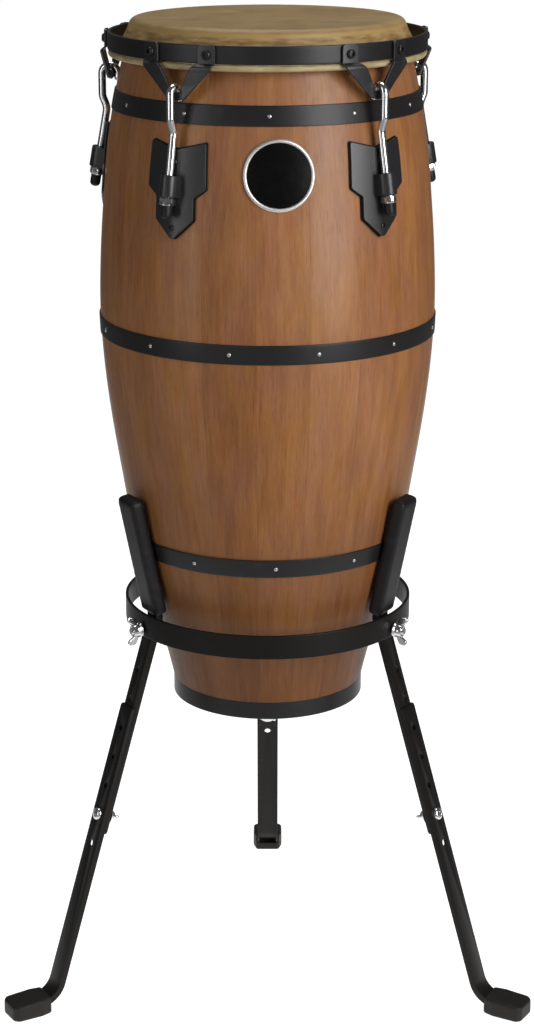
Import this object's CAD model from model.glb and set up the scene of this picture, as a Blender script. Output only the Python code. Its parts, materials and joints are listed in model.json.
"""A conga in its basket stand: the finishes and the fine forms, built round the fixed model."""
import json
import math

import bmesh
import bpy
from mathutils import Matrix, Vector, noise


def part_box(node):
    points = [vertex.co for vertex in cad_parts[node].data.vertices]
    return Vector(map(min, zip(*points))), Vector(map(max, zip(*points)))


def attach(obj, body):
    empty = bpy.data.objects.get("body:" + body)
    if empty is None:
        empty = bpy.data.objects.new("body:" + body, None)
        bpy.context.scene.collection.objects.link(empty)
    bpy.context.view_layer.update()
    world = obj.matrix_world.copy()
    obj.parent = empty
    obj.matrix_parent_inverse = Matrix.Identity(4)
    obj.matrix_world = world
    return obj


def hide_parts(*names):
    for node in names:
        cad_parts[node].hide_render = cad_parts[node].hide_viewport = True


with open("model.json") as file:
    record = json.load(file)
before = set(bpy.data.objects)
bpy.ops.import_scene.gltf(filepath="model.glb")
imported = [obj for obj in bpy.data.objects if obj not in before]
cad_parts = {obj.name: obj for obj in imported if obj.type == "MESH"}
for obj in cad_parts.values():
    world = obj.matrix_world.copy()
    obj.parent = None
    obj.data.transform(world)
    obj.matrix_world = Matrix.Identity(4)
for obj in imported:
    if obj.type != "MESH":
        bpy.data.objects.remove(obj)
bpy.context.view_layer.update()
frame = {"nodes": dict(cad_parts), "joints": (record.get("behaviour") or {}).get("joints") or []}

JOINTS = {joint["name"]: joint for joint in frame["joints"]}
LUG_NAMES = ("front_left", "front_right", "right", "back", "left")
LEG_NAMES = ("back", "left", "right")
ROUND = 2 * math.pi
ROUND_STEPS = 216
SMALL_STEPS = 48

# Camera, as it stood to the drum in the photograph, in metres from the drum's axis
CAMERA_DISTANCE = 2.5431
CAMERA_HEIGHT = 1.2621
CAMERA_PITCH = math.radians(16.498)
CAMERA_LENS = 58.86
CAMERA_SENSOR = 24.0
CAMERA_SHIFT = -0.00056


def nodes_points(node):
    return [vertex.co.copy() for vertex in frame["nodes"][node].data.vertices]


shell_low, shell_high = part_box("shell")
AXIS = Vector(((shell_low.x + shell_high.x) / 2, (shell_low.y + shell_high.y) / 2, 0.0))


def from_axis(point):
    """How far a point is from the drum's axis."""
    return math.hypot(point[0] - AXIS.x, point[1] - AXIS.y)


def height_range(node):
    low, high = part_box(node)
    return low.z, high.z


def radius_range(node):
    radii = [from_axis(point) for point in nodes_points(node)]
    return min(radii), max(radii)


def outer_profile(node):
    """(height, radius) pairs on the side of a turned node that faces away from the axis."""
    rows = {}
    for vertex in frame["nodes"][node].data.vertices:
        away = Vector((vertex.co.x - AXIS.x, vertex.co.y - AXIS.y))
        if away.length > 0.01 and vertex.normal.xy.dot(away.normalized()) > 0.35:
            height = round(vertex.co.z, 4)
            rows[height] = max(rows.get(height, 0.0), away.length)
    return sorted(rows.items())


def smooth_value(points, place):
    """The value at this place on a smooth curve through (place, value) points in order."""
    last = len(points) - 1
    at = 0
    while at < last - 1 and place > points[at + 1][0]:
        at += 1

    def slope(i):
        (low, low_value), (high, high_value) = points[max(i - 1, 0)], points[min(i + 1, last)]
        return (high_value - low_value) / (high - low)

    (start, first), (end, second) = points[at], points[at + 1]
    span = end - start
    t = (place - start) / span
    before = (1 + 2 * t) * (1 - t) ** 2 * first + t * (1 - t) ** 2 * span * slope(at)
    after = t * t * (3 - 2 * t) * second - t * t * (1 - t) * span * slope(at + 1)
    return before + after


SHELL_SIDE = outer_profile("shell")


def shell_radius(height):
    return smooth_value(SHELL_SIDE, min(max(height, SHELL_SIDE[0][0]), SHELL_SIDE[-1][0]))


# Node trees written as expressions
class Signal:
    """A socket that carries a value. Arithmetic on it adds Math nodes."""

    def __init__(self, finish, socket):
        self.finish = finish
        self.socket = socket

    def other(self, name):
        """Another output of the same node."""
        return Signal(self.finish, self.socket.node.outputs[name])

    def maths(self, operation, *values):
        return self.finish.add("ShaderNodeMath", {"operation": operation}, dict(enumerate((self, *values))))

    def __add__(self, value):
        return self.maths("ADD", value)

    def __sub__(self, value):
        return self.maths("SUBTRACT", value)

    def __mul__(self, value):
        return self.maths("MULTIPLY", value)

    def __truediv__(self, value):
        return self.maths("DIVIDE", value)

    def __rsub__(self, value):
        return self.finish.add("ShaderNodeMath", {"operation": "SUBTRACT"}, {0: value, 1: self})

    __radd__ = __add__
    __rmul__ = __mul__

    def eased(self, low, high):
        """Nought below low, one above high, and a smooth step between them."""
        settings = {"interpolation_type": "SMOOTHSTEP"}
        return self.finish.add("ShaderNodeMapRange", settings, {0: self, 1: low, 2: high})


class Finish:
    """One material and its node tree."""

    def __init__(self, name, **fixed):
        self.material = bpy.data.materials.new(name)
        self.material.use_nodes = True
        self.tree = self.material.node_tree
        self.surface = self.tree.nodes["Principled BSDF"]
        for socket, value in fixed.items():
            self.surface.inputs[socket.replace("_", " ").title().replace("Ior", "IOR")].default_value = value

    def add(self, kind, settings=None, sockets=None, output=0):
        """A node of this kind, with its settings made before its sockets are filled."""
        node = self.tree.nodes.new(kind)
        for name, value in (settings or {}).items():
            if name == "stops":
                self.set_stops(node.color_ramp, value)
            else:
                setattr(node, name, value)
        for place, value in (sockets or {}).items():
            if isinstance(value, Signal):
                self.tree.links.new(value.socket, node.inputs[place])
            else:
                node.inputs[place].default_value = value
        return Signal(self, node.outputs[output])

    @staticmethod
    def set_stops(ramp, stops):
        while len(ramp.elements) < len(stops):
            ramp.elements.new(1.0)
        for element, (place, colour) in zip(ramp.elements, stops):
            element.position = place
            element.color = (*colour, 1.0)

    def feed(self, socket, value):
        self.tree.links.new(value.socket, self.surface.inputs[socket])

    def places(self):
        """Where a point of the surface lies on its own piece, in metres."""
        return self.add("ShaderNodeTexCoord", output="Object")

    def parts(self, vector):
        """The X, Y and Z of a vector."""
        x = self.add("ShaderNodeSeparateXYZ", None, {0: vector})
        return x, x.other("Y"), x.other("Z")

    def together(self, x, y, z):
        return self.add("ShaderNodeCombineXYZ", None, {0: x, 1: y, 2: z})

    def cloud(self, vector, size, detail=3.0, roughness=0.55):
        """Soft noise whose patches are about this size in metres."""
        sockets = {"Vector": vector, "Scale": 1.0 / size, "Detail": detail, "Roughness": roughness}
        return self.add("ShaderNodeTexNoise", None, sockets)

    def blended(self, share, first, second, way="MIX"):
        """A colour between two others."""
        colours = [(*c, 1.0) if isinstance(c, tuple) else c for c in (first, second)]
        settings = {"data_type": "RGBA", "blend_type": way}
        return self.add("ShaderNodeMix", settings, {0: share, 6: colours[0], 7: colours[1]}, 2)

    def ramp(self, value, stops):
        return self.add("ShaderNodeValToRGB", {"stops": stops}, {0: value})

    def relief(self, height, depth):
        """Makes the surface look raised where height is more, by depth in metres."""
        normal = self.add("ShaderNodeBump", None, {"Strength": 1.0, "Distance": depth, "Height": height})
        self.feed("Normal", normal)


# The wood's staves, and the heights between which its stain deepens and its lacquer thins to the foot
STAVES = 20
STAVE_START = math.radians(4.0)
BELLY = max(radius for height, radius in SHELL_SIDE)
WOOD_DEEPEST = 0.30
WOOD_EVEN = 0.68


def stained_wood():
    """Upright staves of open-grained brown wood, stained and under satin lacquer."""
    finish = Finish("stained_wood", coat_roughness=0.25, specular_ior_level=0.30)
    x, y, z = finish.parts(finish.places())
    turn = (y.maths("ARCTAN2", x) / ROUND + (0.5 + STAVE_START / ROUND)).maths("FRACT")
    stave = turn * STAVES
    number = stave.maths("FLOOR")
    across = stave.maths("FRACT")
    tint = finish.add("ShaderNodeTexWhiteNoise", {"noise_dimensions": "1D"}, {"W": number})
    round_side = turn * (ROUND * BELLY)
    lift = tint * 3.0
    figure = finish.cloud(finish.together(round_side, number * 0.37, z * 0.15 + lift), 0.012, 5.0, 0.62)
    streak = finish.cloud(finish.together(round_side, number * 0.53, z * 0.045 + lift), 0.0020, 4.0, 0.65)
    fleck = finish.cloud(finish.together(round_side, number * 0.71, z * 0.045 + lift), 0.0006, 2.0, 0.5)
    pores = fleck.eased(0.55, 0.70)
    broad = finish.cloud(finish.together(x, y, z * 0.25), 0.07, 2.0, 0.5)
    tone = figure * 0.52 + streak * 0.30 + tint * 0.08 + broad * 0.34 - 0.11
    shade = finish.ramp(
        tone,
        (
            (0.22, (0.160, 0.060, 0.027)),
            (0.40, (0.245, 0.099, 0.043)),
            (0.55, (0.318, 0.137, 0.060)),
            (0.70, (0.390, 0.180, 0.083)),
            (0.88, (0.465, 0.240, 0.120)),
        ),
    )
    heart = finish.cloud(finish.together(round_side, number * 0.91, z * 0.10 + lift), 0.0070, 3.0, 0.6)
    red = finish.blended(heart.eased(0.50, 0.66) * 0.7, shade, (0.98, 0.83, 0.74), "MULTIPLY")
    warmth = finish.cloud(finish.together(x, y, z * 0.45), 0.030, 3.0, 0.55)
    golden = finish.ramp(
        warmth, ((0.36, (0.97, 0.95, 0.93)), (0.50, (1.0, 0.98, 0.80)), (0.62, (1.0, 0.97, 0.60)))
    )
    colour = finish.blended(1.0, red, golden, "MULTIPLY")
    seam = (across - 0.5).maths("ABSOLUTE").eased(0.488, 0.4985)
    dark = (0.55, 0.42, 0.34)
    grained = finish.blended(pores * 0.42, colour, dark, "MULTIPLY")
    stained = finish.blended(seam * 0.18, grained, dark, "MULTIPLY")
    deeper = 1.0 - z.eased(WOOD_DEEPEST, WOOD_EVEN)
    finish.feed("Base Color", finish.blended(deeper, stained, (0.455, 0.380, 0.200), "MULTIPLY"))
    finish.feed("Coat Weight", 0.18 - deeper * 0.17)
    finish.feed("Roughness", 0.34 + deeper * 0.08 + pores * 0.16 + streak * 0.10)
    finish.relief(streak * 0.35 - pores * 0.5 - seam * 0.8, 0.00012)
    return finish.material


def rawhide(skin_top, roll_top):
    """A natural skin: olive tan on top, golden and mottled over the edge, pale on its roll."""
    finish = Finish("rawhide", specular_ior_level=0.4)
    x, y, z = finish.parts(finish.places())
    place = finish.together(x, y, z)
    broad = finish.cloud(place, 0.055, 3.0, 0.6)
    mottle = finish.cloud(finish.together(x * 0.45, y * 0.45, z * 2.2), 0.009, 3.0, 0.5)
    grain = finish.cloud(place, 0.0016, 3.0, 0.6)
    vein = finish.cloud(finish.together(x * 0.6, y * 1.6, z), 0.02, 6.0, 0.7)
    top = finish.ramp(
        broad * 0.55 + mottle * 0.45,
        ((0.30, (0.210, 0.130, 0.045)), (0.50, (0.272, 0.176, 0.066)), (0.72, (0.335, 0.230, 0.096))),
    )
    collar = finish.ramp(
        mottle * 0.8 + vein * 0.2,
        ((0.34, (0.190, 0.105, 0.034)), (0.50, (0.315, 0.195, 0.068)), (0.66, (0.450, 0.310, 0.135))),
    )
    roll = finish.ramp(mottle, ((0.35, (0.34, 0.26, 0.125)), (0.65, (0.47, 0.39, 0.215))))
    over_edge = 1.0 - z.eased(skin_top - 0.0105, skin_top - 0.0030)
    on_roll = 1.0 - z.eased(roll_top, roll_top + 0.004)
    past_edge = z.eased(skin_top - 0.0055, skin_top - 0.0030)
    edge = z.eased(skin_top - 0.0090, skin_top - 0.0065) * (1.0 - past_edge)
    upper = finish.blended(edge * 0.7, finish.blended(over_edge, top, collar), (0.42, 0.27, 0.09))
    skin = finish.blended(on_roll, upper, roll)
    veined = vein.eased(0.60, 0.75) * 0.35
    finish.feed("Base Color", finish.blended(veined, skin, (0.60, 0.48, 0.34), "MULTIPLY"))
    finish.feed("Roughness", 0.42 + mottle * 0.16)
    finish.relief(grain * 0.6 + mottle * 0.5, 0.00018)
    return finish.material


def powder_coat(name, tone, roughness, gloss=0.38, speckle=0.0009):
    """Black stove enamel with a fine orange-peel surface and a few dull scuffs."""
    finish = Finish(name, specular_ior_level=gloss)
    place = finish.places()
    peel = finish.cloud(place, speckle, 2.0, 0.5)
    worn = finish.cloud(place, 0.02, 6.0, 0.7)
    scuff = worn.eased(0.60, 0.72)
    lighter = tuple(min(1.0, channel * 1.7 + 0.004) for channel in tone)
    finish.feed("Base Color", finish.blended(scuff * 0.5 + peel * 0.2, tone, lighter))
    finish.feed("Roughness", roughness + scuff * 0.12 + peel * 0.08)
    finish.relief(peel, 0.00006)
    return finish.material


def black_rubber(name, tone, roughness):
    """Moulded rubber, finely pitted and a little dusty."""
    finish = Finish(name, specular_ior_level=0.25)
    place = finish.places()
    pits = finish.cloud(place, 0.0012, 3.0, 0.6)
    dust = finish.cloud(place, 0.016, 5.0, 0.65).eased(0.50, 0.78)
    dusty = tuple(channel * 2.0 + 0.006 for channel in tone)
    finish.feed("Base Color", finish.blended(dust * 0.6 + pits * 0.2, tone, dusty))
    finish.feed("Roughness", roughness + dust * 0.15)
    finish.relief(pits, 0.00010)
    return finish.material


def chrome(name="chrome", tone=(0.72, 0.72, 0.73), roughness=0.07):
    """Bright plating with faint smears."""
    finish = Finish(name, metallic=1.0)
    place = finish.places()
    smear = finish.cloud(place, 0.008, 4.0, 0.6)
    duller = tuple(channel * 0.78 for channel in tone)
    finish.feed("Base Color", finish.blended(smear.eased(0.45, 0.75) * 0.4, tone, duller))
    finish.feed("Roughness", roughness + smear * 0.10)
    return finish.material


def badge_gloss():
    """Deep black lacquer."""
    finish = Finish("badge_gloss", specular_ior_level=0.12)
    cloud = finish.cloud(finish.places(), 0.01, 3.0, 0.6)
    finish.feed("Base Color", finish.blended(cloud, (0.0025, 0.002, 0.002), (0.005, 0.0045, 0.0045)))
    finish.feed("Roughness", 0.22 + cloud * 0.10)
    return finish.material


# Meshes
def new_mesh(name, build):
    """A mesh filled by build(bmesh), its faces turned outwards."""
    shape = bmesh.new()
    build(shape)
    return from_shape(name, shape)


def from_shape(name, shape):
    bmesh.ops.recalc_face_normals(shape, faces=shape.faces)
    if shape.calc_volume(signed=True) < 0:
        bmesh.ops.reverse_faces(shape, faces=shape.faces)
    mesh = bpy.data.meshes.new(name)
    shape.to_mesh(mesh)
    shape.free()
    return mesh


def shaded(mesh, degrees=40.0):
    mesh.shade_smooth()
    mesh.set_sharp_from_angle(angle=math.radians(degrees))
    return mesh


def polygon_reach(apothem, sides, angle):
    """How far a regular polygon reaches at this angle."""
    side = ROUND / sides
    return apothem / math.cos(angle % side - side / 2)


def lathe(name, profile, steps=ROUND_STEPS, closed=True):
    """Rings turned about Z. A row is (radius, height), or (half width, height, sides) for a polygon."""

    def build(shape):
        rings = []
        for radius, height, *sides in profile:
            if radius < 1e-6:
                rings.append([shape.verts.new((0.0, 0.0, height))])
                continue
            ring = []
            for step in range(steps):
                angle = ROUND * step / steps
                reach = polygon_reach(radius, sides[0], angle) if sides else radius
                ring.append(shape.verts.new((reach * math.cos(angle), reach * math.sin(angle), height)))
            rings.append(ring)
        pairs = list(zip(rings, rings[1:])) + ([(rings[-1], rings[0])] if closed else [])
        for upper, lower in pairs:
            for i in range(steps):
                j = (i + 1) % steps
                corners = ((upper, i), (lower, i), (lower, j), (upper, j))
                face = list(dict.fromkeys(ring[place % len(ring)] for ring, place in corners))
                if len(face) > 2:
                    shape.faces.new(face)

    return shaded(new_mesh(name, build))


def arc(centre, radius, start, end, count):
    """Points on an arc, its angles in degrees."""
    angles = [math.radians(start + (end - start) * i / (count - 1)) for i in range(count)]
    return [(centre[0] + radius * math.cos(a), centre[1] + radius * math.sin(a)) for a in angles]


def softened(outline, radius, count=5):
    """A closed outline with its corners rounded. A corner (x, z, radius) has a radius of its own."""
    points = [Vector(point[:2]) for point in outline]
    result = []
    for i, corner in enumerate(points):
        wanted = outline[i][2] if len(outline[i]) > 2 else radius
        before = points[i - 1] - corner
        after = points[(i + 1) % len(points)] - corner
        half = before.angle(after) / 2
        if half > math.radians(85) or wanted <= 0:
            result.append(tuple(corner))
            continue
        reach = min(wanted / math.tan(half), 0.48 * before.length, 0.48 * after.length)
        first = corner + before.normalized() * reach
        last = corner + after.normalized() * reach
        for step in range(count):
            t = step / (count - 1)
            result.append(tuple(first * (1 - t) ** 2 + corner * 2 * t * (1 - t) + last * t * t))
    return result


def divided(outline, spacing):
    """A closed outline with points added along its long stretches."""
    result = []
    for i, point in enumerate(outline):
        after = outline[(i + 1) % len(outline)]
        pieces = max(1, round(math.dist(point, after) / spacing))
        for step in range(pieces):
            t = step / pieces
            result.append(tuple(a + (b - a) * t for a, b in zip(point, after)))
    return result


SECTION_SPACING = 0.002


def bar_section(thickness, height, edge):
    """(out, up) points round a flat bar's section, its back at nought and its middle at nought."""
    half = height / 2
    corners = [(0.0, -half), (thickness, -half), (thickness, half), (0.0, half)]
    return divided(softened(corners, edge), SECTION_SPACING)


def hoop_of(name, section, middle, radius_at):
    """A hoop round the drum: a bar's section carried round at radius_at(height)."""
    return lathe(name, [(radius_at(middle + up) + out, middle + up) for out, up in section])


EDGE_STEPS = 3


def flat_shape(name, outline, thickness, edge):
    """A flat shape in X and Z with its thickness along Y and rounded edges."""
    curve = bpy.data.curves.new(name, "CURVE")
    curve.dimensions = "2D"
    curve.fill_mode = "BOTH"
    curve.extrude = thickness / 2 - edge
    curve.bevel_depth = edge
    curve.bevel_resolution = EDGE_STEPS
    curve.offset = -edge
    spline = curve.splines.new("POLY")
    spline.points.add(len(outline) - 1)
    for point, (x, z) in zip(spline.points, outline):
        point.co = (x, z, 0.0, 1.0)
    spline.use_cyclic_u = True
    flat = bpy.data.objects.new(name, curve)
    bpy.context.scene.collection.objects.link(flat)
    bpy.context.view_layer.update()
    mesh = bpy.data.meshes.new_from_object(flat.evaluated_get(bpy.context.evaluated_depsgraph_get()))
    bpy.data.objects.remove(flat)
    mesh.transform(Matrix.Rotation(math.pi / 2, 4, "X"))
    shape = bmesh.new()
    shape.from_mesh(mesh)
    bmesh.ops.remove_doubles(shape, verts=shape.verts, dist=0.000002)
    return shape


def sliced(shape, axis, spacing, low, high):
    """Cuts a shape across an axis at even steps, so that it can be bent."""
    normal = Vector((0.0, 0.0, 0.0))
    normal[axis] = 1.0
    count = max(1, round((high - low) / spacing))
    for i in range(1, count):
        place = low + (high - low) * i / count
        geometry = shape.verts[:] + shape.edges[:] + shape.faces[:]
        bmesh.ops.bisect_plane(shape, geom=geometry, dist=1e-7, plane_co=normal * place, plane_no=normal)


def wrapped(name, outline, thickness, edge, back_radius, turn_radius, spacing):
    """A flat shape bent round the drum. Its x runs round it, and back_radius(x, z) carries its back."""
    shape = flat_shape(name, outline, thickness, edge)
    for axis in (0, 2):
        values = [vertex.co[axis] for vertex in shape.verts]
        sliced(shape, axis, spacing, min(values), max(values))
    for vertex in shape.verts:
        x, y, z = vertex.co
        radius = back_radius(x, z) + thickness / 2 + y
        angle = x / turn_radius
        vertex.co = (radius * math.cos(angle), radius * math.sin(angle), z)
    return shaded(from_shape(name, shape))


TUBE_SIDES = 24
DOME_STEPS = 4
DOME_TIP = 0.05


def tube(name, route, radius):
    """A round rod with domed ends along a route of points in the X and Z plane."""
    points = [Vector((x, 0.0, z)) for x, z in route]

    def build(shape):
        rings = []

        def ring(centre, along, reach):
            side = Vector((0.0, 1.0, 0.0))
            up = along.cross(side).normalized()
            angles = [ROUND * i / TUBE_SIDES for i in range(TUBE_SIDES)]
            places = [centre + (side * math.cos(a) + up * math.sin(a)) * reach for a in angles]
            rings.append([shape.verts.new(place) for place in places])

        def dome(centre, out, along, order):
            for i in order:
                angle = math.pi / 2 * i / DOME_STEPS
                reach = max(radius * math.cos(angle), radius * DOME_TIP)
                ring(centre + out * radius * math.sin(angle), along, reach)

        first = (points[0] - points[1]).normalized()
        last = (points[-1] - points[-2]).normalized()
        dome(points[0], first, -first, range(DOME_STEPS, 0, -1))
        for i, point in enumerate(points):
            before = points[max(i - 1, 0)]
            after = points[min(i + 1, len(points) - 1)]
            ring(point, (after - before).normalized(), radius)
        dome(points[-1], last, last, range(1, DOME_STEPS + 1))
        for near, far in zip(rings, rings[1:]):
            for i in range(TUBE_SIDES):
                j = (i + 1) % TUBE_SIDES
                shape.faces.new((near[i], near[j], far[j], far[i]))
        shape.faces.new(rings[0])
        shape.faces.new(rings[-1])

    return shaded(new_mesh(name, build), 60.0)


SAME_PLACE = 0.00001
FLAT_WITHIN = math.radians(1.0)
SHARP_BEYOND = math.radians(38.0)


def copy_of(node, name, edge):
    """The node's own form with its sharp edges rounded off."""
    shape = bmesh.new()
    shape.from_mesh(frame["nodes"][node].data)
    bmesh.ops.remove_doubles(shape, verts=shape.verts, dist=SAME_PLACE)
    bmesh.ops.dissolve_limit(
        shape, angle_limit=FLAT_WITHIN, verts=shape.verts, edges=shape.edges, delimit={"NORMAL"}
    )
    joined = [e for e in shape.edges if len(e.link_faces) == 2]
    sharp = [e for e in joined if e.calc_face_angle(0.0) > SHARP_BEYOND]
    bmesh.ops.bevel(
        shape, geom=sharp, offset=edge, offset_type="OFFSET", segments=2, profile=0.5, affect="EDGES",
        clamp_overlap=True,
    )
    return shaded(from_shape(name, shape), 30.0)


def moulded_copy(node, name, voxel, passes):
    """The node's own form with all its edges worn soft, as moulded rubber has them."""
    mesh = frame["nodes"][node].data.copy()
    piece = bpy.data.objects.new(name, mesh)
    bpy.context.scene.collection.objects.link(piece)
    remesh = piece.modifiers.new("Even faces", "REMESH")
    remesh.mode = "VOXEL"
    remesh.voxel_size = voxel
    remesh.use_smooth_shade = True
    smooth = piece.modifiers.new("Soft edges", "SMOOTH")
    smooth.factor = 0.5
    smooth.iterations = passes
    bpy.context.view_layer.update()
    result = bpy.data.meshes.new_from_object(piece.evaluated_get(bpy.context.evaluated_depsgraph_get()))
    bpy.data.objects.remove(piece)
    result.name = name
    result.shade_smooth()
    return result


def place_piece(name, mesh, material, body, where=None, stands_for=()):
    """A piece in its place, riding on a body, in place of the nodes that it stands for."""
    piece = bpy.data.objects.new(name, mesh)
    bpy.context.scene.collection.objects.link(piece)
    if where is not None:
        piece.matrix_world = where
    mesh.materials.clear()
    mesh.materials.append(material)
    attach(piece, body)
    if stands_for:
        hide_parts(*stands_for)
    return piece


def merged(name, meshes):
    """One mesh of several, each already in its place."""
    shape = bmesh.new()
    for mesh in meshes:
        shape.from_mesh(mesh)
    result = bpy.data.meshes.new(name)
    shape.to_mesh(result)
    shape.free()
    return shaded(result)


def turned_to(angle):
    """At the drum's axis, with X pointing away from it at this angle round."""
    return Matrix.Translation(AXIS) @ Matrix.Rotation(angle, 4, "Z")


def from_front(degrees):
    """The angle round the axis of a place this far to the right of the drum's front."""
    return math.radians(degrees - 90.0)


def on_side(angle, radius, height):
    """On the drum's side, with Z pointing away from its axis and Y up it."""
    place = turned_to(angle) @ Matrix.Translation((radius, 0.0, height))
    return place @ Matrix.Rotation(math.pi / 2, 4, "Y") @ Matrix.Rotation(math.pi / 2, 4, "Z")


LEAN_STEP = 0.004


def side_lean(height):
    """How far the shell's side leans out at this height, as an angle."""
    wider = shell_radius(height + LEAN_STEP) - shell_radius(height - LEAN_STEP)
    return math.atan(wider / (2 * LEAN_STEP))


def joint_angle(name):
    """The angle round the drum's axis at which a joint stands."""
    x, y = JOINTS[name]["pos_m"][:2]
    return math.atan2(y - AXIS.y, x - AXIS.x)


# Finishes
ROLL_BOTTOM, SKIN_TOP = height_range("head_skin")
ROLL_HEIGHT = 0.0066
WOOD = stained_wood()
SKIN = rawhide(SKIN_TOP, ROLL_BOTTOM + ROLL_HEIGHT)
BAND_COAT = powder_coat("band_coat", (0.010, 0.0088, 0.0088), 0.34)
PLATE_COAT = powder_coat("plate_coat", (0.013, 0.012, 0.0135), 0.30, 0.55)
LEG_COAT = powder_coat("leg_coat", (0.0065, 0.0052, 0.0045), 0.40, 0.20, 0.0012)
BOLT_BLACK = powder_coat("bolt_black", (0.006, 0.006, 0.006), 0.28)
PAD_RUBBER = black_rubber("pad_rubber", (0.0075, 0.0062, 0.0070), 0.42)
FOOT_RUBBER = black_rubber("foot_rubber", (0.0100, 0.0082, 0.0070), 0.55)
GASKET_RUBBER = black_rubber("gasket_rubber", (0.004, 0.004, 0.004), 0.6)
CHROME = chrome()
STEEL = chrome("rivet_steel", (0.52, 0.52, 0.52), 0.30)
BADGE_RIM = chrome("badge_rim", (0.86, 0.83, 0.81), 0.38)
BADGE_FACE = badge_gloss()


# The drum. Sizes are in metres, here and below
SHELL_WALL = 0.011
BEARING_EDGE = 0.004
SHELL_ROWS = 120


def shell_piece():
    """The turned barrel, open at both ends, with a rounded edge under the skin."""
    low, high = height_range("shell")
    side_top = high - BEARING_EDGE
    top_radius = shell_radius(side_top)
    profile = arc((top_radius - BEARING_EDGE, side_top), BEARING_EDGE, 90, 0, 8)
    for i in range(1, SHELL_ROWS + 1):
        height = side_top + (low - side_top) * i / SHELL_ROWS
        profile.append((shell_radius(height), height))
    inner_rows = SHELL_ROWS // 3
    for i in range(inner_rows + 1):
        height = low + (high - low) * i / inner_rows
        profile.append((shell_radius(height) - SHELL_WALL, height))
    mesh = lathe("wooden_shell", profile)
    place_piece("wooden_shell", mesh, WOOD, "drum", turned_to(0.0), ["shell"])


BAND_EDGE = 0.0007
BAND_BEDDED = 0.0004
RIVET_RADIUS = 0.0021
RIVET_RISE = 0.0011
RIVET_ROOT = -0.0006
# For each band: how many rivets, where one of them lies in front, and their spacing, in degrees
RIVETS = {"upper_band": (11, 0.7, 31.7), "middle_band": (12, 16.9, 29.4), "lower_band": (10, 3.4, 34.9)}


def rivet_mesh():
    profile = [(0.0, RIVET_RISE)]
    for angle in (0.35, 0.7, 1.0, 1.25, 1.45):
        profile.append((RIVET_RADIUS * math.sin(angle), RIVET_RISE * math.cos(angle)))
    profile += [(RIVET_RADIUS, RIVET_ROOT), (0.0, RIVET_ROOT)]
    return lathe("rivet", profile, SMALL_STEPS // 2, closed=False)


def band_pieces():
    rivet = rivet_mesh()
    for node, (count, front, spacing) in RIVETS.items():
        low, high = height_range(node)
        middle = (low + high) / 2
        proud = max(from_axis(p) - shell_radius(p.z) for p in nodes_points(node))
        section = bar_section(proud + BAND_BEDDED, high - low, BAND_EDGE)
        mesh = hoop_of(node + "_strap", section, middle, lambda z: shell_radius(z) - BAND_BEDDED)
        place_piece(node + "_strap", mesh, BAND_COAT, "drum", turned_to(0.0), [node])
        rivets = []
        for i in range(count):
            angle = from_front(front + (i - count // 2) * spacing)
            where = on_side(angle, shell_radius(middle) + proud, middle)
            copy = rivet.copy()
            copy.transform(Matrix.Translation(-AXIS) @ where @ Matrix.Rotation(side_lean(middle), 4, "X"))
            rivets.append(copy)
        mesh = merged(node + "_rivets", rivets)
        place_piece(node + "_rivets", mesh, STEEL, "drum", turned_to(0.0))


BASE_RING_WALL = 0.002
BASE_RING_EDGE = 0.0008


def base_ring_piece():
    low, high = height_range("base_ring")
    outer = radius_range("base_ring")[1]
    section = bar_section(BASE_RING_WALL, high - low, BASE_RING_EDGE)
    mesh = hoop_of("foot_ring", section, (low + high) / 2, lambda z: outer - BASE_RING_WALL)
    place_piece("foot_ring", mesh, BAND_COAT, "drum", turned_to(0.0), ["base_ring"])


SKIN_THICKNESS = 0.0015
SKIN_CLEARANCE = 0.0003
SKIN_SHOULDER = 0.0082
SKIN_WAVE = 0.00035
WAVES_PER_METRE = 18.0
COLLAR_ROWS = 12
COLLAR_SAG = 0.0010
ROLL_WIDTH = 0.0105


def head_piece():
    """The skin over the bearing edge, down its collar and lapped round the flesh hoop."""
    top_radius = shell_radius(shell_high.z - BEARING_EDGE)
    outside = top_radius + SKIN_THICKNESS + SKIN_CLEARANCE
    centre = (outside - SKIN_SHOULDER, SKIN_TOP - SKIN_SHOULDER)
    roll_outer = radius_range("head_skin")[1]
    half = ROLL_HEIGHT / 2
    roll_middle = ROLL_BOTTOM + half
    shares = (0.0, 0.08, 0.2, 0.34, 0.48, 0.62, 0.76, 0.89, 0.96)
    flat = [(centre[0] * share, SKIN_TOP) for share in shares]
    over = arc(centre, SKIN_SHOULDER, 90, 12, 14)
    foot = (roll_outer - ROLL_WIDTH + 0.004, roll_middle + half)
    collar = []
    for i in range(1, COLLAR_ROWS):
        t = i / COLLAR_ROWS
        sag = COLLAR_SAG * math.sin(math.pi * t)
        collar.append(tuple(a + (b - a) * t - sag for a, b in zip(over[-1], foot)))
    roll = arc((roll_outer - half, roll_middle), half, 90, -90, 12)
    inner_bottom = (roll_outer - ROLL_WIDTH, ROLL_BOTTOM)
    inside = [(r - SKIN_THICKNESS, z - 0.0004) for r, z in reversed(collar)]
    under = [(centre[0], SKIN_TOP - SKIN_THICKNESS), (0.0, SKIN_TOP - SKIN_THICKNESS)]
    profile = flat + over + collar + [foot] + roll + [inner_bottom] + inside + under
    mesh = lathe("skin_head", profile, closed=False)
    for vertex in mesh.vertices:
        if vertex.co.z < SKIN_TOP - 0.003 and vertex.co.xy.length > centre[0]:
            place = Vector((vertex.co.x, vertex.co.y, vertex.co.z * 2.0)) * WAVES_PER_METRE
            wave = noise.noise(place) * SKIN_WAVE * 2.0
            out = vertex.co.xy.normalized() * min(wave, 0.0)
            vertex.co += Vector((out.x, out.y, 0.5 * wave if vertex.co.z > roll_middle else 0.0))
    place_piece("skin_head", mesh, SKIN, "head", turned_to(0.0), ["head_skin", "flesh_hoop"])


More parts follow.
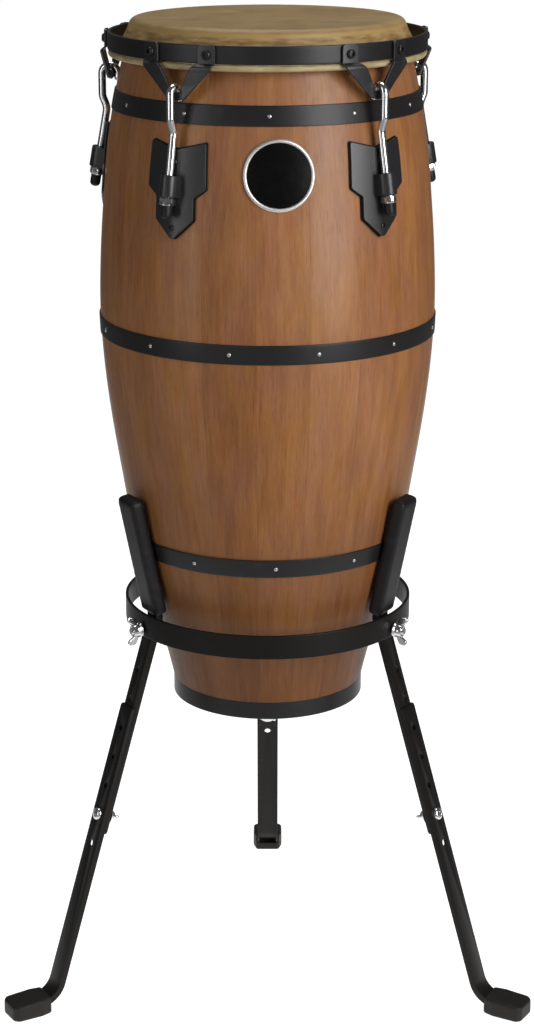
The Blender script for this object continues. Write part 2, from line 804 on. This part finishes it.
HOOP_THICKNESS = 0.0035
HOOP_EDGE = 0.0012


def counter_hoop_piece():
    low, high = height_range("counter_hoop")
    outer = radius_range("counter_hoop")[1]
    section = bar_section(HOOP_THICKNESS, high - low, HOOP_EDGE)
    mesh = hoop_of("tension_hoop", section, (low + high) / 2, lambda z: outer - HOOP_THICKNESS)
    where = turned_to(0.0)
    place_piece("tension_hoop", mesh, BAND_COAT, "head", where, ["counter_hoop"])


# The tuning lugs
HOOP_LOW, HOOP_HIGH = height_range("counter_hoop")
HOOP_OUTER = radius_range("counter_hoop")[1]
BRACKET_PLATE = 0.003
BRACKET_EDGE = 0.0006
BRACKET_SPACING = 0.0012
BRACKET_FLUSH = HOOP_OUTER + 0.0003
TAB_SIDE = 0.0314
TAB_HALF = 0.0088
TAB_CORNER = 0.0040
ARM_INNER_INSET = 0.0062
ARM_OUTER_INSET = 0.0018
CROTCH_BELOW_HOOP = 0.0272
CROTCH_DEPTH = 0.0088
CROTCH_HALF = 0.0047
BRACKET_BULGE = 0.0040
BRACKET_TUCK = 0.0026
TAB_BOLT_RADIUS = 0.0046
TAB_BOLT_HEIGHT = 0.0030
TAB_BOLT_SOCKET = 0.0019


def bracket_outline():
    """The V of the bracket laid flat, with its tabs at the hoop and its toe below the crotch."""
    crotch = HOOP_LOW - CROTCH_BELOW_HOOP
    toe = crotch - CROTCH_DEPTH
    tab_low = HOOP_LOW - 0.0005
    tab_high = HOOP_HIGH + 0.0004
    half = [
        (CROTCH_HALF, crotch, 0.0020),
        (CROTCH_HALF + 0.0006, crotch + 0.003, 0.001),
        (TAB_SIDE - TAB_HALF - ARM_INNER_INSET, HOOP_LOW - 0.0036, 0.006),
        (TAB_SIDE - TAB_HALF - 0.5 * ARM_INNER_INSET, tab_low - 0.0008, 0.002),
        (TAB_SIDE - TAB_HALF, tab_low + 0.0012, 0.001),
        (TAB_SIDE - TAB_HALF, tab_high, TAB_CORNER),
        (TAB_SIDE + TAB_HALF, tab_high, TAB_CORNER),
        (TAB_SIDE + TAB_HALF, tab_low, TAB_CORNER * 0.5),
        (TAB_SIDE + TAB_HALF - ARM_OUTER_INSET, tab_low - 0.0014, 0.0015),
        (TAB_SIDE + TAB_HALF - ARM_OUTER_INSET - 0.0012, tab_low - 0.0046, 0.005),
        (CROTCH_HALF + 0.0045, toe + 0.0022, 0.004),
    ]
    outline = half + [(0.0, toe, 0.0)] + [(-x, z, r) for x, z, r in reversed(half)]
    return softened(outline, 0.002, 6)


def bracket_back(x, z):
    """The radius of the bracket's back: flush on the hoop, and standing out below it, whatever x is."""
    rows = (
        (HOOP_LOW - CROTCH_BELOW_HOOP + 0.006, BRACKET_FLUSH + BRACKET_TUCK),
        (HOOP_LOW - 0.0080, BRACKET_FLUSH + BRACKET_BULGE),
        (HOOP_LOW - 0.0026, BRACKET_FLUSH + BRACKET_BULGE),
        (HOOP_LOW + 0.0006, BRACKET_FLUSH),
    )
    return smooth_value(rows, min(max(z, rows[0][0]), rows[-1][0]))


def cap_bolt_mesh(name, radius, height, socket):
    """A domed head with a six-sided socket. It sits on z = 0."""
    profile = [
        (0.0, 0.35 * height),
        (socket, 0.35 * height, 6),
        (socket, 0.94 * height, 6),
        (socket * 1.12, height),
        (radius * 0.62, 0.97 * height),
        (radius * 0.86, 0.72 * height),
        (radius * 0.98, 0.35 * height),
        (radius, 0.0),
        (0.0, 0.0),
    ]
    return lathe(name, profile, SMALL_STEPS, closed=False)


def bracket_pieces():
    turn = BRACKET_FLUSH + BRACKET_PLATE / 2
    outline = bracket_outline()
    strap = wrapped(
        "hoop_strap", outline, BRACKET_PLATE, BRACKET_EDGE, bracket_back, turn, BRACKET_SPACING
    )
    tab_height = (HOOP_LOW + HOOP_HIGH) / 2
    bolt_radius = BRACKET_FLUSH + BRACKET_PLATE
    bolt = cap_bolt_mesh("tab_bolt", TAB_BOLT_RADIUS, TAB_BOLT_HEIGHT, TAB_BOLT_SOCKET)
    for lug in LUG_NAMES:
        angle = joint_angle("nut_turn_" + lug)
        place_piece(
            "hoop_strap_" + lug, strap.copy(), PLATE_COAT, "head", turned_to(angle),
            ["hoop_bracket_" + lug],
        )
        bolts = []
        for side in (-1, 1):
            copy = bolt.copy()
            tab_angle = angle + side * TAB_SIDE / HOOP_OUTER
            copy.transform(Matrix.Translation(-AXIS) @ on_side(tab_angle, bolt_radius, tab_height))
            bolts.append(copy)
        mesh = merged("tab_bolts_" + lug, bolts)
        place_piece("tab_bolts_" + lug, mesh, BOLT_BLACK, "head", turned_to(0.0))


ROD_RADIUS = 0.00395
HOOK_BEND = 0.0085
HOOK_TIP = 0.0035
ROD_STRAIGHT = 0.036
ROD_IN_CAP = 0.0005
BEND_STARTS = 0.24
BEND_ENDS = 0.58
BEND_STEPS = 48
NUT_FLATS = 0.013
NUT_HEIGHT = 0.0075
NUT_CHAMFER = 0.0009
CAP_RADIUS = 0.0053
CAP_LENGTH = 0.013
LUG_HEIGHT = 0.021
LUG_RADIUS = 0.0088
LUG_EDGE = 0.0009
LUG_ABOVE_NUT = 0.0003


def rod_place(lug, along=0.0):
    """On the rod's axis, this far above the nut's seat, with Z up the rod and X away from the drum."""
    joint = JOINTS["nut_turn_" + lug]
    up = Vector(joint["axis"]).normalized()
    angle = joint_angle("nut_turn_" + lug)
    side = up.cross(Vector((math.cos(angle), math.sin(angle), 0.0))).normalized()
    out = side.cross(up)
    turn = Matrix((out, side, up)).transposed().to_4x4()
    return Matrix.Translation(Vector(joint["pos_m"])) @ turn @ Matrix.Translation((0.0, 0.0, along))


def hook_route(lug):
    """The hook's centreline in its own upright plane, as (distance from the axis, height)."""
    node = "tuning_hook_" + lug
    bend_height = height_range(node)[1] - HOOK_BEND - ROD_RADIUS
    above = [p for p in nodes_points(node) if p.z > bend_height - HOOK_TIP]
    bend_radius = min(from_axis(p) for p in above) + HOOK_BEND + ROD_RADIUS
    top = rod_place(lug, LUG_HEIGHT / 2 + ROD_STRAIGHT).translation
    low = rod_place(lug, -NUT_HEIGHT - ROD_IN_CAP).translation
    top = (from_axis(top), top.z)
    low = (from_axis(low), low.z)
    slope = (top[0] - low[0]) / (top[1] - low[1])
    side = bend_radius + HOOK_BEND
    drop = bend_height - top[1]
    route = [(bend_radius - HOOK_BEND, bend_height - HOOK_TIP)]
    route += arc((bend_radius, bend_height), HOOK_BEND, 180, 0, 17)
    for i in range(1, BEND_STEPS + 1):
        up = 1 - i / BEND_STEPS
        height = top[1] + drop * up
        rod = top[0] + drop * up * slope
        share = min(max((up - BEND_STARTS) / (BEND_ENDS - BEND_STARTS), 0.0), 1.0)
        route.append((rod + (side - rod) * share * share * (3 - 2 * share), height))
    return route + [low]


def hook_pieces():
    for lug in LUG_NAMES:
        mesh = tube("chrome_hook_" + lug, hook_route(lug), ROD_RADIUS)
        where = turned_to(joint_angle("nut_turn_" + lug))
        place_piece(
            "chrome_hook_" + lug, mesh, CHROME, "hook_" + lug, where, ["tuning_hook_" + lug]
        )


def nut_meshes():
    """The plated nut with chamfered corners, and the black cap that closes its lower end."""
    half = NUT_FLATS / 2
    nut = [
        (ROD_RADIUS, 0.0),
        (half * 0.96, 0.0),
        (half, -NUT_CHAMFER, 6),
        (half, NUT_CHAMFER - NUT_HEIGHT, 6),
        (half * 0.96, -NUT_HEIGHT),
        (ROD_RADIUS, -NUT_HEIGHT),
    ]
    end = -NUT_HEIGHT - CAP_LENGTH
    top = -NUT_HEIGHT + 0.0001
    shoulder = end + CAP_RADIUS * 0.8
    cap = [(0.0, top), (CAP_RADIUS * 0.94, top), (CAP_RADIUS, top - 0.0008)]
    cap += arc((0.0, shoulder), CAP_RADIUS, 0, -90, 9)[:-1]
    cap = [(r, z if z > shoulder else shoulder + (z - shoulder) * 0.8) for r, z in cap]
    cap.append((0.0, end))
    return lathe("plated_nut", nut, SMALL_STEPS), lathe("nut_cap", cap, SMALL_STEPS, closed=False)


def nut_pieces():
    nut, cap = nut_meshes()
    for lug in LUG_NAMES:
        where = rod_place(lug)
        body = "nut_" + lug
        place_piece("plated_nut_" + lug, nut.copy(), CHROME, body, where, ["tuning_nut_" + lug])
        place_piece("nut_cap_" + lug, cap.copy(), PAD_RUBBER, body, where)


# The side plates, their heights from the middle of the plate
PLATE_TOP_CORNER = 0.0468
PLATE_MIDDLE = height_range("side_plate_back")[1] - PLATE_TOP_CORNER
PLATE_THICKNESS = 0.0022
PLATE_EDGE = 0.0005
PLATE_SPACING = 0.0025
PLATE_RIDGE = 0.0034
PLATE_BACK = 0.0016
PLATE_CREST = 0.0022
PLATE_HALF_WIDTH = 0.0325
PLATE_SCREW = {"radius": 0.0032, "height": 0.0016, "socket": 0.0012}
PLATE_SCREW_SUNK = 0.0004
PLATE_SCREWS = (0.0275, -0.0354)
GASKET_BORDER = 0.0009
GASKET_THICKNESS = 0.0012
GASKET_EDGE = 0.0004
GASKET_BACK = 0.0002
GASKET_SPACING = 0.004


def plate_outline(border):
    """The plate's outline with this much added all round."""
    half = [
        (PLATE_HALF_WIDTH - 0.001 + border, PLATE_TOP_CORNER + border, 0.0022),
        (PLATE_HALF_WIDTH + border, 0.0026 - border, 0.004),
        (0.0207 + border, -0.0060 - border, 0.003),
        (0.0207 + border, -0.0275 - border, 0.005),
    ]
    outline = [(0.0, 0.0392 + border, 0.006)] + half + [(0.0, -0.0470 - 1.4 * border, 0.004)]
    outline += [(-x, z, r) for x, z, r in reversed(half)]
    return [(x, z + PLATE_MIDDLE) for x, z in softened(outline, 0.003, 6)]


def plate_rise(x):
    """The fold down the middle, softened along its crest."""
    off = math.hypot(x, PLATE_CREST)
    return PLATE_RIDGE * (1.0 - off / PLATE_HALF_WIDTH)


def plate_pieces():
    turn = shell_radius(PLATE_MIDDLE)
    plate = wrapped(
        "folded_plate",
        plate_outline(0.0),
        PLATE_THICKNESS,
        PLATE_EDGE,
        lambda x, z: shell_radius(z) + PLATE_BACK + plate_rise(x),
        turn,
        PLATE_SPACING,
    )
    gasket = wrapped(
        "plate_gasket",
        plate_outline(GASKET_BORDER),
        GASKET_THICKNESS,
        GASKET_EDGE,
        lambda x, z: shell_radius(z) + GASKET_BACK,
        turn,
        GASKET_SPACING,
    )
    screw = cap_bolt_mesh("plate_screw", **PLATE_SCREW)
    for lug in LUG_NAMES:
        angle = joint_angle("nut_turn_" + lug)
        where = turned_to(angle)
        name, node = "folded_plate_" + lug, "side_plate_" + lug
        place_piece(name, plate.copy(), PLATE_COAT, "drum", where, [node])
        name, node = "plate_gasket_" + lug, "gasket_" + lug
        place_piece(name, gasket.copy(), GASKET_RUBBER, "drum", where, [node])
        screws = []
        for up in PLATE_SCREWS:
            height = PLATE_MIDDLE + up
            plate_front = PLATE_BACK + plate_rise(0.0) + PLATE_THICKNESS
            radius = shell_radius(height) + plate_front - PLATE_SCREW_SUNK
            copy = screw.copy()
            place = on_side(angle, radius, height) @ Matrix.Rotation(side_lean(height), 4, "X")
            copy.transform(Matrix.Translation(-AXIS) @ place)
            screws.append(copy)
        mesh = merged("plate_screws_" + lug, screws)
        place_piece("plate_screws_" + lug, mesh, BOLT_BLACK, "drum", turned_to(0.0))
        lug_block_piece(lug)


def lug_block_piece(lug):
    """The lug that guides the rod: a round front on straight sides that run back into the plate."""
    where = rod_place(lug, LUG_HEIGHT / 2 + LUG_ABOVE_NUT)
    out = from_axis(where.translation)
    back = shell_radius(where.translation.z) + PLATE_BACK + PLATE_RIDGE - out
    outline = [(back, -LUG_RADIUS)] + arc((0.0, 0.0), LUG_RADIUS, -90, 90, 25) + [(back, LUG_RADIUS)]
    shape = flat_shape("rod_lug_" + lug, divided(outline, 0.003), LUG_HEIGHT, LUG_EDGE)
    mesh = shaded(from_shape("rod_lug_" + lug, shape))
    mesh.transform(Matrix.Rotation(math.pi / 2, 4, "X"))
    place_piece("rod_lug_" + lug, mesh, PLATE_COAT, "drum", where)


# The badge: a bent disc in a rounded rim. Its middle is closed but for a pinhole
BADGE_RADIUS = 0.0345
BADGE_RIM_WIDTH = 0.0036
BADGE_BACK = 0.0003
BADGE_RISE = 0.0016
BADGE_PINHOLE = 0.0002
BADGE_UNDER_RIM = 1.02
BADGE_FROM_FRONT = 3.9


def bent_disc(name, profile, middle):
    """Rings about the badge's middle, (radius, rise from the shell), bent to the shell's side."""
    mesh = lathe(name, profile, 96)
    turn = shell_radius(middle)
    for vertex in mesh.vertices:
        x, y, rise = vertex.co
        height = middle + y
        radius = shell_radius(height) + rise
        vertex.co = (radius * math.cos(x / turn), radius * math.sin(x / turn), height)
    return shaded(mesh)


def badge_pieces():
    low, high = height_range("badge")
    middle = (low + high) / 2
    inner = BADGE_RADIUS - BADGE_RIM_WIDTH
    radii = [BADGE_PINHOLE] + [inner * share for share in (0.2, 0.4, 0.6, 0.8, BADGE_UNDER_RIM)]
    face = [(radius, BADGE_RISE) for radius in radii]
    face += [(radii[-1], BADGE_BACK), (radii[0], BADGE_BACK)]
    rim = [
        (BADGE_RADIUS, BADGE_BACK),
        (inner, BADGE_BACK),
        (inner, 0.0018),
        (inner + 0.0006, 0.0026),
        (inner + 0.0018, 0.0030),
        (BADGE_RADIUS - 0.0010, 0.0027),
        (BADGE_RADIUS, 0.0018),
    ]
    where = turned_to(from_front(BADGE_FROM_FRONT))
    disc = bent_disc("badge_face", face, middle)
    place_piece("badge_face", disc, BADGE_FACE, "drum", where, ["badge"])
    place_piece("badge_rim", bent_disc("badge_rim", rim, middle), BADGE_RIM, "drum", where)


# The stand
RING_THICKNESS = 0.003
RING_EDGE = 0.0009


def ring_piece():
    low, high = height_range("stand_ring")
    outer = radius_range("stand_ring")[1]
    section = bar_section(RING_THICKNESS, high - low, RING_EDGE)
    mesh = hoop_of("basket_ring", section, (low + high) / 2, lambda z: outer - RING_THICKNESS)
    where = turned_to(0.0)
    place_piece("basket_ring", mesh, LEG_COAT, "stand", where, ["stand_ring"])


def nut_place(joint_name, node):
    """On a wing nut's axis, with Z out of its seat and X along its wings."""
    joint = JOINTS[joint_name]
    seat = Vector(joint["pos_m"])
    up = Vector(joint["axis"]).normalized()
    places = [point - seat for point in nodes_points(node)]
    half_way = max(place.dot(up) for place in places) / 2
    wings = [place - up * place.dot(up) for place in places if place.dot(up) > half_way]
    out = max(wings, key=lambda place: place.length).normalized()
    turn = Matrix((out, up.cross(out), up)).transposed().to_4x4()
    return Matrix.Translation(seat) @ turn


HUB_TO_BOLT = 1.8
WING_THICKNESS = 0.0032
WING_EDGE = 0.0010
WING_SPACING = 0.0015
WING_AT_ROOT = 1.25
WING_TAPER = 0.45


def wing_nut_mesh(name, flange_radius, bolt_radius, height, wing_height, wing_span):
    """A cast wing nut: a tapering hub on a flange, with two swept wings, thicker at their roots."""
    hub = HUB_TO_BOLT * bolt_radius
    profile = [
        (bolt_radius, height - 0.0006),
        (bolt_radius + 0.0006, height),
        (0.82 * hub, height),
        (0.90 * hub, height - 0.0008),
        (hub, 0.0024),
        (hub + 0.0012, 0.0014),
        (flange_radius - 0.0004, 0.0011),
        (flange_radius, 0.0006),
        (flange_radius, 0.0),
        (bolt_radius, 0.0),
    ]
    barrel = lathe(name, profile, SMALL_STEPS)
    reach = wing_span / 2
    half = [
        (0.30 * reach, 0.66 * height, 0.002),
        (0.62 * reach, wing_height * 0.92, 0.003),
        (0.80 * reach, wing_height, 0.003),
        (reach, 0.84 * wing_height, 0.003),
        (0.92 * reach, 0.40 * wing_height, 0.004),
        (0.45 * reach, 0.16 * wing_height, 0.003),
    ]
    outline = half + [(-x, z, r) for x, z, r in reversed(half)]
    rounded = divided(softened(outline, 0.002, 6), WING_SPACING)
    shape = flat_shape("wings", rounded, WING_THICKNESS, WING_EDGE)
    sliced(shape, 0, WING_SPACING, -reach, reach)
    for vertex in shape.verts:
        share = abs(vertex.co.x) / reach
        vertex.co.y *= WING_AT_ROOT - WING_TAPER * share
    return merged(name, [barrel, shaded(from_shape("wings", shape))])


THREAD_PITCH = 0.001
THREAD_ROOT = 0.90
CHAMFERED_END = 0.80


def bolt_end_mesh(name, radius, low, high):
    """A threaded shank from low to high, with a chamfered end."""
    profile = [(0.0, low), (radius, low)]
    for i in range(int((high - low) / THREAD_PITCH)):
        z = low + i * THREAD_PITCH
        profile += [(radius, z + 0.25 * THREAD_PITCH), (radius * THREAD_ROOT, z + 0.75 * THREAD_PITCH)]
    profile += [(radius * CHAMFERED_END, high), (0.0, high)]
    return lathe(name, profile, SMALL_STEPS, closed=False)


LEG_EDGE = 0.0007
# How softly each rubber piece is moulded: the size of its even faces, and how often they are smoothed
PAD_SOFTNESS = (0.0014, 34)
FOOT_SOFTNESS = (0.0009, 5)


def leg_pieces():
    for leg in LEG_NAMES:
        sliding = "extension_" + leg
        channels = (("upper_leg_", "leg_post_", "stand"), ("lower_leg_", "leg_sleeve_", sliding))
        for node, title, body in channels:
            name = title + leg
            mesh = copy_of(node + leg, name, LEG_EDGE)
            place_piece(name, mesh, LEG_COAT, body, None, [node + leg])
        pad, foot = "pad_" + leg, "foot_" + leg
        for node, softness, rubber, body in (
            (pad, PAD_SOFTNESS, PAD_RUBBER, "stand"),
            (foot, FOOT_SOFTNESS, FOOT_RUBBER, sliding),
        ):
            name = "rubber_" + node
            mesh = moulded_copy(node, name, *softness)
            place_piece(name, mesh, rubber, body, None, [node])
        bolt_pieces(leg)


BOLT_END = 0.002
# For each kind of bolt: the piece that it goes through, and its sizes in metres
BOLTS = {
    "pivot": {
        "title": "ring",
        "bolt_radius": 0.004,
        "head": (0.0065, 0.0035, 0.0024),
        "flange": 0.008,
        "nut_height": 0.009,
        "wings": (0.015, 0.031),
    },
    "lock": {
        "title": "leg",
        "bolt_radius": 0.003,
        "head": (0.0068, 0.004, 0.0026),
        "flange": 0.0105,
        "nut_height": 0.0065,
        "wings": (0.010, 0.020),
    },
}


def bolt_pieces(leg):
    """Each bolt with its head under the channel's web, and its wing nut on its far end."""
    for kind, bolt in BOLTS.items():
        where = nut_place(kind + "_nut_turn_" + leg, kind + "_wing_nut_" + leg)
        radius = bolt["bolt_radius"]
        nut = wing_nut_mesh("wing_nut", bolt["flange"], radius, bolt["nut_height"], *bolt["wings"])
        title = bolt["title"] + "_wing_nut_" + leg
        place_piece(title, nut, CHROME, kind + "_nut_" + leg, where, [kind + "_wing_nut_" + leg])
        head_radius, head_height, socket = bolt["head"]
        node = kind + "_bolt_" + leg
        back = where.inverted()
        face = min((back @ point).z for point in nodes_points(node)) + head_height
        head = cap_bolt_mesh("bolt_head", head_radius, head_height, socket)
        head.transform(Matrix.Translation((0.0, 0.0, face)) @ Matrix.Rotation(math.pi, 4, "X"))
        shank = bolt_end_mesh("bolt_shank", radius, face, bolt["nut_height"] + BOLT_END)
        body = "stand" if kind == "pivot" else "extension_" + leg
        title = bolt["title"] + "_bolt_" + leg
        place_piece(title, merged(title, [head, shank]), CHROME, body, where, [node])


# Floor, light and camera. The floor is brightest in front of the camera, and fades beside that
FLOOR_REACH = 16.0
PICTURE_SPREAD = 0.1063
FLOOR_FRONT = -0.26
FLOOR_FRONT_FADE = 0.5
FLOOR_FADE = 0.7


def stage_pieces():
    shape = bmesh.new()
    bmesh.ops.create_grid(shape, x_segments=8, y_segments=8, size=FLOOR_REACH)
    mesh = bpy.data.meshes.new("studio_floor")
    shape.to_mesh(mesh)
    shape.free()
    floor = bpy.data.objects.new("studio_floor", mesh)
    bpy.context.scene.collection.objects.link(floor)
    finish = Finish("studio_floor", roughness=0.8, specular_ior_level=0.1, emission_strength=0.96)
    cloud = finish.cloud(finish.places(), 0.6)
    x, y = finish.parts(finish.places())[:2]
    beside = (x - AXIS.x).maths("ABSOLUTE") - (y - (AXIS.y - CAMERA_DISTANCE)) * PICTURE_SPREAD
    lit = (1.0 - beside.eased(0.03, FLOOR_FADE)) * y.eased(FLOOR_FRONT - FLOOR_FRONT_FADE, FLOOR_FRONT)
    finish.feed("Emission Color", finish.blended(lit, (0.0, 0.0, 0.0), (1.0, 1.0, 1.0)))
    finish.feed("Base Color", finish.blended(cloud, (0.42, 0.42, 0.42), (0.46, 0.46, 0.46)))
    mesh.materials.append(finish.material)


LIGHTS_AIM = Vector((0.0, -0.07, 0.6))


def soft_light(name, place, size, power):
    light = bpy.data.lights.new(name, "AREA")
    light.shape = "RECTANGLE"
    light.size, light.size_y = size
    light.energy = power
    lamp = bpy.data.objects.new(name, light)
    bpy.context.scene.collection.objects.link(lamp)
    lamp.location = place
    lamp.rotation_euler = (LIGHTS_AIM - Vector(place)).to_track_quat("-Z", "Y").to_euler()


def studio_light():
    world = bpy.data.worlds.new("studio")
    world.use_nodes = True
    backdrop = world.node_tree.nodes["Background"]
    backdrop.inputs["Color"].default_value = (0.96, 0.98, 1.0, 1.0)
    backdrop.inputs["Strength"].default_value = 0.11
    bpy.context.scene.world = world
    bpy.context.scene.view_settings.view_transform = "Standard"
    soft_light("key_softbox", (1.62, -1.85, 1.45), (1.2, 2.3), 58.0)
    soft_light("left_softbox", (-1.90, -1.55, 1.15), (0.55, 2.0), 10.0)
    soft_light("front_softbox", (-1.18, -3.05, 0.75), (0.40, 1.3), 3.5)
    soft_light("top_softbox", (0.0, 0.5, 3.0), (1.8, 1.4), 30.0)


def photo_camera():
    data = bpy.data.cameras.new("photo_camera")
    data.sensor_fit = "VERTICAL"
    data.sensor_height = CAMERA_SENSOR
    data.lens = CAMERA_LENS
    data.shift_x = CAMERA_SHIFT
    camera = bpy.data.objects.new("photo_camera", data)
    bpy.context.scene.collection.objects.link(camera)
    camera.location = (AXIS.x, AXIS.y - CAMERA_DISTANCE, CAMERA_HEIGHT)
    camera.rotation_euler = (math.pi / 2 - CAMERA_PITCH, 0.0, 0.0)
    bpy.context.scene.camera = camera


shell_piece()
band_pieces()
base_ring_piece()
head_piece()
counter_hoop_piece()
bracket_pieces()
hook_pieces()
nut_pieces()
plate_pieces()
badge_pieces()
ring_piece()
leg_pieces()
stage_pieces()
studio_light()
photo_camera()
